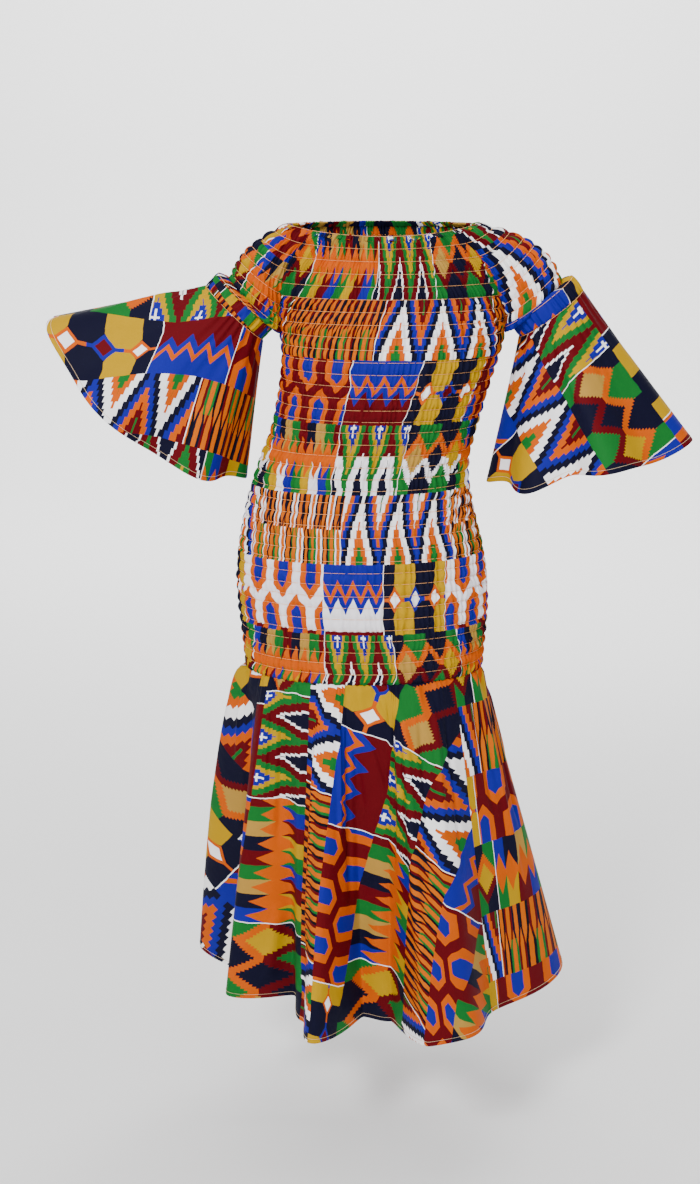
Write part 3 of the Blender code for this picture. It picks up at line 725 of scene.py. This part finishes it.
def sleevePoint(sleeve, turn, down):
    # Coons patch: both pairs of opposite edges blended, less the blend of the corners
    s = np.minimum(down, 1.0)
    top, bottom = neckArc(sleeve["side"], turn), bandRing(sleeve, turn, -0.5)
    front, back = crownEdge(sleeve, -1, s), crownEdge(sleeve, 1, s)
    topEnds = neckArc(sleeve["side"], np.array((0.0, 1.0)))
    lowEnd = bandRing(sleeve, 0.0, -0.5)
    w, s3 = turn[..., None], s[..., None]
    corners = (1 - s3) * ((1 - w) * topEnds[0] + w * topEnds[1]) + s3 * lowEnd
    crown = (1 - s3) * top + s3 * bottom + (1 - w) * front + w * back - corners
    crown[..., 2] += sleeve["crown"] * np.sin(math.pi * s) * np.sin(math.pi * turn) ** 2
    band = bandRing(sleeve, turn, np.maximum(down, 1.0) - 1.5)
    return np.where(down[..., None] > 1, band, crown)


def addSleeve(name, seed):
    sleeve, cut = sleeves[name], sleeveCut
    perPuff = cut["rowsInPuff"]
    crown = np.linspace(1, 0, cut["crownPuffs"] * perPuff + 1)
    band = np.linspace(2, 1, cut["bandPuffs"] * perPuff + 1)
    downs = np.concatenate((band, crown[1:]))
    rowPlace = np.arange(len(downs)) / perPuff
    threads = cut["crownPuffs"] + cut["bandPuffs"] + 1
    columns = np.linspace(0, 1, cut["columns"])
    turn, down = np.meshgrid(1 - columns if sleeve["side"] < 0 else columns, downs)
    base = sleevePoint(sleeve, turn, down)
    rise = np.where(downs > 1, cut["bandRise"], shirring["rise"])[:, None]
    points, outward = smock(base, rowPlace, threads, rise, seed)
    arc = middleArc(base)
    height = arcAlong(base, 0)[:, [cut["columns"] // 2]] - cut["bandWidth"]
    flat = np.stack(np.broadcast_arrays(arc * cut["fullness"], height), axis=-1)
    # the print's place: start (mm), then its change along the arc and up the sleeve's middle; the
    # band is a strip of its own, so its print starts elsewhere
    uv = np.stack([start / 1000 + arc * perArc + height * perHeight
                   for start, perArc, perHeight in (sleeve["grainX"], sleeve["grainY"])], axis=-1)
    uv[..., 0] += jitter(threads, rowPlace, seed + 2)[:, None]
    uv[downs > 1, :, 1] += sleeve["bandShift"] / 1000
    addSmocked("sleeve_" + name, base, points, outward, uv, flat, perPuff)


addSleeve("right", 31)
addSleeve("left", 47)
print("sleeves made")


def creaseField(table, across, along):
    # each crease is a line from (across, along) to (across, along), in mm on the piece:
    # depth * exp(-(distance / width) ** 2), faded at both ends
    field = np.zeros_like(across)
    for startA, startB, endA, endB, width, depth in np.array(table) / 1000:
        lengthA, lengthB = endA - startA, endB - startB
        square = lengthA ** 2 + lengthB ** 2
        share = ((across - startA) * lengthA + (along - startB) * lengthB) / square
        off = np.abs((across - startA) * lengthB - (along - startB) * lengthA) / math.sqrt(square)
        fade = ease(share / cloth["creaseEnds"]) * ease((1 - share) / cloth["creaseEnds"])
        field += depth * np.exp(-(off / width) ** 2) * fade
    return field


def seamFade(hem):
    # nothing moves within a few millimetres of the side seams
    return ease(np.minimum(hem, hem[-1] - hem) / cloth["seamFade"])


def hemStitches(name, points, outward):
    # one row of machine stitches just above the hem
    up = arcAlong(points, 0)
    path = [[np.interp(cloth["hemRow"], up[:, i], points[:, i, k]) for k in range(3)]
            for i in range(points.shape[1])]
    path = np.array(path) + outward[1] * cloth["hemThreadOver"]
    return addThreads(name + "HemThread", [path], cloth["hemThread"], hemThread)


def fan(base, fullness):
    # flat cut of a flared piece: a ring sector whose radius grows with the cloth's length;
    # row 0 is the hem.  Angles are measured from its own middle column.
    top = arcAlong(base[-1:], 1)[0] * fullness
    hem = arcAlong(base[:1], 1)[0]
    length = arcAlong(base, 0)
    down = length[-1:] - length
    spread = (hem[-1] - top[-1]) / float(length[-1].mean())
    inner = top[-1] / spread
    angle = spread * (hem / hem[-1] - 0.5)
    radius = inner + down
    return np.stack((radius * np.sin(angle), -radius * np.cos(angle)), axis=-1), down, hem


def addHung(node, base, fullness, gathers, creases, grain):
    # a flared piece: its gathers and creases, hem stitches, print and turned edges
    outward = gridNormals(base)
    flat, below, hem = fan(base, fullness)
    share = np.broadcast_to(hem / hem[-1], below.shape)
    field = creaseField(creases, np.broadcast_to(hem, below.shape), below) * seamFade(hem)
    off = gathers(hem, below) + field + cloth["over"]
    points = base + outward * off[..., None]
    stitches = hemStitches(pieceName(node), points, outward)
    uv = layPrint(share, below, grain)
    points, uv = finishEdges(points, uv, ("seam", "hem", "seam", "seam"))
    addSheet(node, points, uv, flat, plainCotton)


bells = {
    "columns": 260, "rows": 90, "fullness": 1.25, "pushPower": 1.3,
    "gathers": 26, "gatherRise": 0.0016, "gatherFade": 0.07, "gatherDrift": (5, 2.0, 0.7),
    "right": {
        "turn": (0.0, 0.07, 0.14, 0.21, 0.28, 0.36, 0.43, 0.5, 0.57, 0.65, 0.73, 0.8, 0.87,
                 0.94, 1.0),
        "push": (0.004, -0.008, 0.012, -0.012, 0.01, -0.012, 0.008, -0.004, 0.01, -0.012, 0.012,
                 -0.01, 0.01, -0.006, 0.004),
        "grain": {"centre": (168.2, -131.1), "inner": 147.0, "ease": 1.0,
                  "share": (0.0, 0.2, 0.4, 0.55, 0.65, 0.72, 0.8, 0.9, 1.0),
                  "angle": (56.5, 80.3, 102.4, 116.1, 128.5, 143.7, 160.2, 177.0, 193.4)},
        "creases": (
            (100, 10, 160, 110, 6, -3.3), (210, 20, 240, 140, 7, 3.3), (300, 10, 330, 90, 5, -2.7),
            (520, 30, 550, 160, 8, 3),
        ),
    },
    "left": {
        "turn": (0.0, 0.07, 0.135, 0.2, 0.27, 0.35, 0.43, 0.5, 0.57, 0.65, 0.73, 0.81, 0.88,
                 0.94, 1.0),
        "push": (0.004, -0.01, 0.016, -0.026, 0.018, -0.01, 0.01, -0.004, 0.01, -0.014, 0.014,
                 -0.016, 0.01, -0.006, 0.004),
        "grain": {"centre": (99.8, 316.8), "inner": 186.0, "ease": 1.06,
                  "share": (0.0, 0.12, 0.2, 0.28, 0.36, 0.45, 0.6, 0.8, 1.0),
                  "angle": (41.9, 54.6, 65.4, 75.5, 82.1, 89.3, 103.7, 124.6, 146.3)},
        "creases": (
            (440, 10, 460, 120, 6, -3.3), (530, 20, 550, 150, 7, 3.3),
            (610, 10, 640, 100, 5, -2.7), (220, 30, 250, 160, 8, 3),
        ),
    },
}


def bellPoint(name, turn, down):
    # ruled from the band to a fluted hem
    sleeve = sleeves[name]
    cosine, sine = np.cos(2 * math.pi * turn), np.sin(2 * math.pi * turn)
    outer = (1 - cosine) / 2
    angle, radius, depth = (smoothCurve((0.0, 0.5, 1.0), sleeve[key], outer)
                            for key in ("hemAngle", "hemRadius", "hemDepth"))
    angle = np.radians(angle)
    hemPoint = stack(sleeve["band"][0] + radius * np.cos(angle), -depth * sine,
                     sleeve["band"][1] + radius * np.sin(angle))
    top = bandRing(sleeve, turn, 0.5)
    under = np.array((sleeve["under"][0], 0.0, sleeve["under"][1]))
    out = unit(under) * cosine[..., None] - np.array((0.0, 1.0, 0.0)) * sine[..., None]
    push = crestCurve(bells[name]["turn"], bells[name]["push"], turn % 1.0)
    push = push * down ** bells["pushPower"]
    return top + (hemPoint - top) * down[..., None] + out * push[..., None]


def bellGathers(hem, below):
    # small gathers under the band, unevenly spaced
    share = hem / hem[-1]
    waves, reach, start = bells["gatherDrift"]
    drift = reach * np.sin(2 * math.pi * waves * share + start)
    gather = np.sin(2 * math.pi * bells["gathers"] * share + drift)
    fade = np.exp(-below / bells["gatherFade"]) * ease(below / cloth["topFade"])
    return bells["gatherRise"] * gather * fade


def addBell(name):
    columns = np.linspace(0, 1, bells["columns"])
    columns = 1 - columns if sleeves[name]["side"] < 0 else columns
    turn, down = np.meshgrid(columns, np.linspace(1, 0, bells["rows"]))
    base, bell = bellPoint(name, turn, down), bells[name]
    addHung("bell_" + name, base, bells["fullness"], bellGathers, bell["creases"], bell["grain"])


addBell("right")
addBell("left")
print("bells made")


flounce = {
    "start": 55.0, "hemCentre": (0.0, 0.02), "fullness": 1.15, "rows": 160, "samples": 600,
    "gatherDepth": 0.004, "gatherFade": 0.06, "gatherStart": 0.01,
    "pucker": 0.024, "puckerRise": 0.0009, "puckerFade": 0.025,
    "puckerDrift": 0.09, "puckerUneven": 1.7,
    # crests and valleys of the hem, once round
    "angle": (-34.4, 6, 30, 52, 74, 97, 120, 142, 156, 168.5, 184, 198, 212, 231, 245, 258.7, 277,
              287, 300, 325.6),
    "radius": (0.212, 0.303, 0.235, 0.275, 0.185, 0.262, 0.19, 0.275, 0.245, 0.301, 0.215, 0.255,
               0.158, 0.192, 0.249, 0.127, 0.14, 0.254, 0.256, 0.212),
    "blend": (0.9, 1.0, *[0.9] * 5, 0.8, 0.6, 0.45, 0.65, 0.8, *[0.9] * 8),
    "length": (*[0.545] * 7, 0.54, 0.53, 0.524, 0.53, 0.535, 0.53, 0.54, *[0.545] * 6),
}
panels = {
    "flounce_back": {
        "hem": (55.0, 135.0), "seam": (55.0, 140.0), "gathers": 6, "columns": 200,
        "creases": (
            (50, 20, 60, 260, 9, 4.5), (110, 10, 100, 380, 11, -5.4), (170, 20, 180, 220, 8, 4.2),
            (230, 10, 220, 420, 12, 5.4), (290, 20, 310, 300, 9, -4.5),
            (350, 10, 340, 360, 10, 4.8), (410, 20, 420, 200, 8, -3.6),
            (200, 500, 240, 340, 14, 4.5),
        ),
        "grain": {"centre": (150.0, 850.0), "inner": 600.0, "ease": 0.95,
                  "share": (0.0, 0.3, 0.7, 1.0), "angle": (-11.0, -4.0, 4.5, 11.0)},
    },
    "flounce_right": {
        "hem": (135.0, 191.3), "seam": (140.0, 211.0), "gathers": 5, "columns": 200,
        "creases": (
            (40, 10, 50, 300, 9, -4.5), (90, 20, 80, 200, 7, 3.9), (140, 10, 150, 400, 11, 5.4),
            (200, 20, 190, 280, 9, -4.8), (260, 10, 270, 180, 7, 3.6),
            (310, 20, 300, 340, 9, -4.2),
        ),
        "grain": {"centre": (741.2, -432.9), "inner": 550.0, "ease": 0.902,
                  "share": (0.0, 0.3, 0.5, 0.7, 0.85, 1.0),
                  "angle": (-164.4, -160.0, -157.2, -154.9, -153.0, -151.0)},
    },
    "flounce_front": {
        "hem": (191.3, 325.6), "seam": (211.0, 318.0), "gathers": 8, "columns": 360,
        "creases": (
            (68, 10, 80, 220, 9, 4.2), (140, 10, 120, 300, 12, -4.8),
            (215, 10, 200, 380, 10, -5.7), (262, 20, 250, 460, 12, 5.4),
            (345, 10, 360, 270, 9, 4.5), (398, 20, 402, 380, 11, -5.1), (452, 60, 487, 180, 4, -3),
            (430, 90, 443, 210, 5, -2.7), (468, 10, 494, 70, 5, 3), (520, 10, 505, 300, 10, -4.5),
            (560, 20, 548, 220, 8, 4.2), (602, 10, 588, 440, 12, 5.4),
            (645, 20, 622, 340, 10, -5.4), (692, 10, 662, 260, 9, 3.9),
            (730, 20, 712, 320, 10, -4.5), (440, 500, 470, 330, 14, 5.1),
            (100, 520, 125, 360, 14, 4.5),
        ),
        "grain": {"centre": (850.0, 238.2), "inner": 456.0, "ease": 0.976,
                  "share": (0.0, 0.13, 0.22, 0.3, 0.38, 0.46, 0.55, 0.65, 0.75, 0.84, 0.92, 1.0),
                  "angle": (-100.9, -93.6, -88.6, -84.5, -77.1, -74.6, -70.4, -63.1, -60.5, -56.4,
                            -53.4, -51.0),
                  "hemAngle": (-93.8, -90.3, -88.9, -87.2, -81.8, -75.5, -73.4, -70.9, -64.9,
                               -54.5, -51.8, -49.6)},
    },
    "flounce_left": {
        "hem": (325.6, 415.0), "seam": (318.0, 415.0), "gathers": 6, "columns": 220,
        "creases": (
            (50, 20, 70, 250, 9, -4.5), (100, 10, 112, 400, 10, 5.4), (160, 20, 150, 300, 8, -4.5),
            (212, 10, 232, 200, 8, 3.9), (270, 20, 280, 420, 12, -5.4),
            (330, 10, 342, 260, 9, 4.5), (392, 20, 402, 360, 10, -4.5),
            (432, 10, 440, 180, 7, 3.3),
        ),
        "grain": {"centre": (514.9, 894.2), "inner": 654.0, "ease": 0.889,
                  "share": (0.0, 0.05, 0.12, 0.2, 0.35, 0.6, 1.0),
                  "angle": (-1.4, 0.6, 2.7, 4.6, 7.0, 11.5, 19.0)},
    },
}


def gatherWave(angle):
    # one wave for each gather, level with the seams at the panels' edges
    wave = np.zeros_like(angle)
    for panel in panels.values():
        start, end = panel["hem"]
        share = ((angle - start) % 360) / (end - start)
        gathers = panel["gathers"]
        window = np.clip(share * gathers, 0, 1) * np.clip((1 - share) * gathers, 0, 1)
        wave = np.where(share < 1, window * np.sin(2 * math.pi * gathers * share), wave)
    return wave


def flouncePoint(angle, up):
    # ruled from the hip seam to a fluted hem: (seam + (hem - seam) * down ** blend), and level drop
    down = 1 - up
    start = flounce["start"]
    hemAngles = [panel["hem"][0] - start for panel in panels.values()] + [360.0]
    seamAngles = [panel["seam"][0] for panel in panels.values()] + [start + 360.0]
    seamAngle = np.radians(np.interp(np.clip(angle - start, 0, 360), hemAngles, seamAngles))
    back = np.sin(seamAngle) > 0
    depth = np.where(back, bodice["backDepth"][0], bodice["frontDepth"][0])
    seamX = bodice["centreX"][0] + bodice["halfWidth"][0] * np.cos(seamAngle)
    seamY = depth * np.sin(seamAngle)
    wrapped = (angle - flounce["angle"][0]) % 360 + flounce["angle"][0]
    radius, blend, length = (crestCurve(flounce["angle"], flounce[key], wrapped)
                             for key in ("radius", "blend", "length"))
    hemX = flounce["hemCentre"][0] + radius * np.cos(np.radians(angle))
    hemY = flounce["hemCentre"][1] + radius * np.sin(np.radians(angle))
    swing = np.maximum(down, 1e-9) ** blend
    drop = np.sqrt(length ** 2 - (hemX - seamX) ** 2 - (hemY - seamY) ** 2)
    below = down * length
    share = np.clip(below / flounce["gatherStart"], 0, 1)
    share = share * np.clip(1 - below / flounce["gatherFade"], 0, 1)
    gather = flounce["gatherDepth"] * gatherWave(angle) * share
    x = seamX + (hemX - seamX) * swing + gather * np.cos(seamAngle)
    y = seamY + (hemY - seamY) * swing + gather * np.sin(seamAngle)
    return stack(x, y, bodice["hipZ"] - drop * down)


def flounceGathers(hem, below):
    # fine puckers just under the hip seam
    drift = flounce["puckerUneven"] * ripple(hem, flounce["puckerDrift"], 0)
    fade = np.exp(-below / flounce["puckerFade"]) * ease(below / cloth["topFade"])
    return flounce["puckerRise"] * ripple(hem, flounce["pucker"], drift) * fade * seamFade(hem)


def addFlounce(name):
    panel = panels[name]
    fine = np.linspace(*panel["hem"], flounce["samples"])
    length = arcAlong(flouncePoint(fine, np.zeros_like(fine))[None], 1)[0]
    angles = np.interp(np.linspace(0, length[-1], panel["columns"]), length, fine)
    base = flouncePoint(*np.meshgrid(angles, np.linspace(0, 1, flounce["rows"])))
    addHung(name, base, flounce["fullness"], flounceGathers, panel["creases"], panel["grain"])


for panelName in panels:
    addFlounce(panelName)
print("flounce made")


studio = {
    "camera": (-0.0465, -2.6, 0.13), "tilt": 14.4, "sensor": 36.0, "lens": 36 * 1754 / 1184,
    "floorZ": -1.42, "floorX": 12.0, "floorStart": -12.0, "level": 5.0, "curve": 1.5, "height": 5.0,
    "world": 0.5,
    # place, target, width and height, watts
    "lights": {
        "key": ((-1.5, -3.1, 1.9), (0, 0, -0.6), (0.9, 0.9), 165),
        "fill": ((1.6, -3.4, 0.6), (0, 0, -0.7), (1.6, 2.0), 42),
        "top": ((0.0, 0.2, 2.6), (0, 0, 0), (2.2, 2.2), 45),
        "back": ((1.6, 2.2, 1.2), (0, 0, -0.5), (1.2, 2.0), 40),
        "wall": ((0.0, 3.6, 2.6), (0, 6.2, -0.6), (6.0, 1.0), 420),
    },
}


def addLight(name, place, target, size, power):
    data = bpy.data.lights.new(name, "AREA")
    data.shape = "RECTANGLE"
    data.size, data.size_y = size
    data.energy = power
    light = bpy.data.objects.new(name, data)
    light.location = place
    x, y, z = np.array(target) - np.array(place)
    light.rotation_euler = (math.atan2(math.hypot(x, y), -z), 0, math.atan2(-x, y))
    bpy.context.scene.collection.objects.link(light)


def addCamera():
    data = bpy.data.cameras.new("camera")
    data.sensor_width, data.lens = studio["sensor"], studio["lens"]
    camera = bpy.data.objects.new("camera", data)
    camera.location = studio["camera"]
    camera.rotation_euler = (math.radians(90 - studio["tilt"]), 0, 0)
    bpy.context.scene.collection.objects.link(camera)
    bpy.context.scene.camera = camera


def addFloor():
    # level behind the dress, then a quarter circle up to a plain backdrop
    curve, turn = studio["curve"], np.linspace(0, math.pi / 2, 24)
    y = np.concatenate(([studio["floorStart"]], studio["level"] + curve * np.sin(turn),
                        [studio["level"] + curve]))
    z = np.concatenate(([0.0], curve * (1 - np.cos(turn)), [studio["height"]])) + studio["floorZ"]
    points = np.concatenate([stack(x, y, z) for x in (-studio["floorX"], studio["floorX"])])
    index, n = np.arange(len(y) - 1), len(y)
    quads = np.stack((index, index + n, index + n + 1, index + 1), -1)
    paper, shader, *_ = newMaterial("paperBackdrop", 0.9, 1.5)
    shader.inputs["Base Color"].default_value = linear("#f4f4f4")
    floor = addPiece("floor", points, quads, paper)


def addStudio():
    addCamera()
    addFloor()
    for name, (place, target, size, power) in studio["lights"].items():
        addLight(name, place, target, size, power)
    world = bpy.data.worlds.new("studio")
    world.use_nodes = True
    background = world.node_tree.nodes["Background"]
    background.inputs["Color"].default_value = (1, 1, 1, 1)
    background.inputs["Strength"].default_value = studio["world"]
    bpy.context.scene.world = world


addStudio()
print("studio made")
